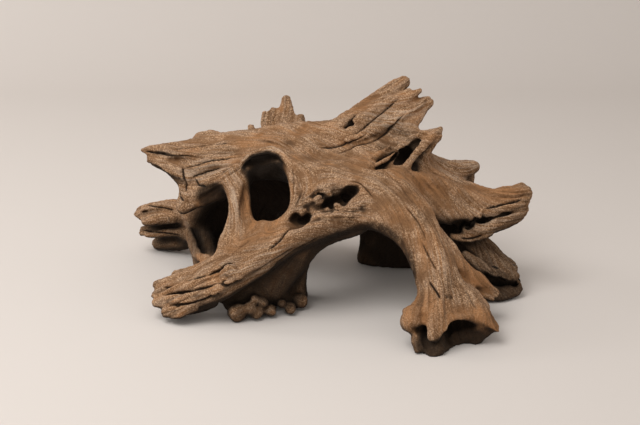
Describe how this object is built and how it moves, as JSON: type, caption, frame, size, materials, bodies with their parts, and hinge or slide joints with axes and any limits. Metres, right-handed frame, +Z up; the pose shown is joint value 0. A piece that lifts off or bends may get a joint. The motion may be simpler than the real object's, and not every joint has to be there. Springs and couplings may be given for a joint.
{
  "type": "dry root cave",
  "caption": "Weathered tree root that stands as a low cave: roots run out of a hollow crown and come down as legs round a front arch.",
  "frame": {"origin": "middle of the bounding box, on the plane that the feet stand on", "axes": "+X along the length, towards the forked branches; +Y from the open front arch to the back; +Z up"},
  "size_m": [0.3898, 0.2646, 0.1929],
  "materials": {
    "dry_wood": "matte, dry and grained"
  },
  "bodies": {
    "root": {"root": "dry_wood"}
  },
  "joints": []
}
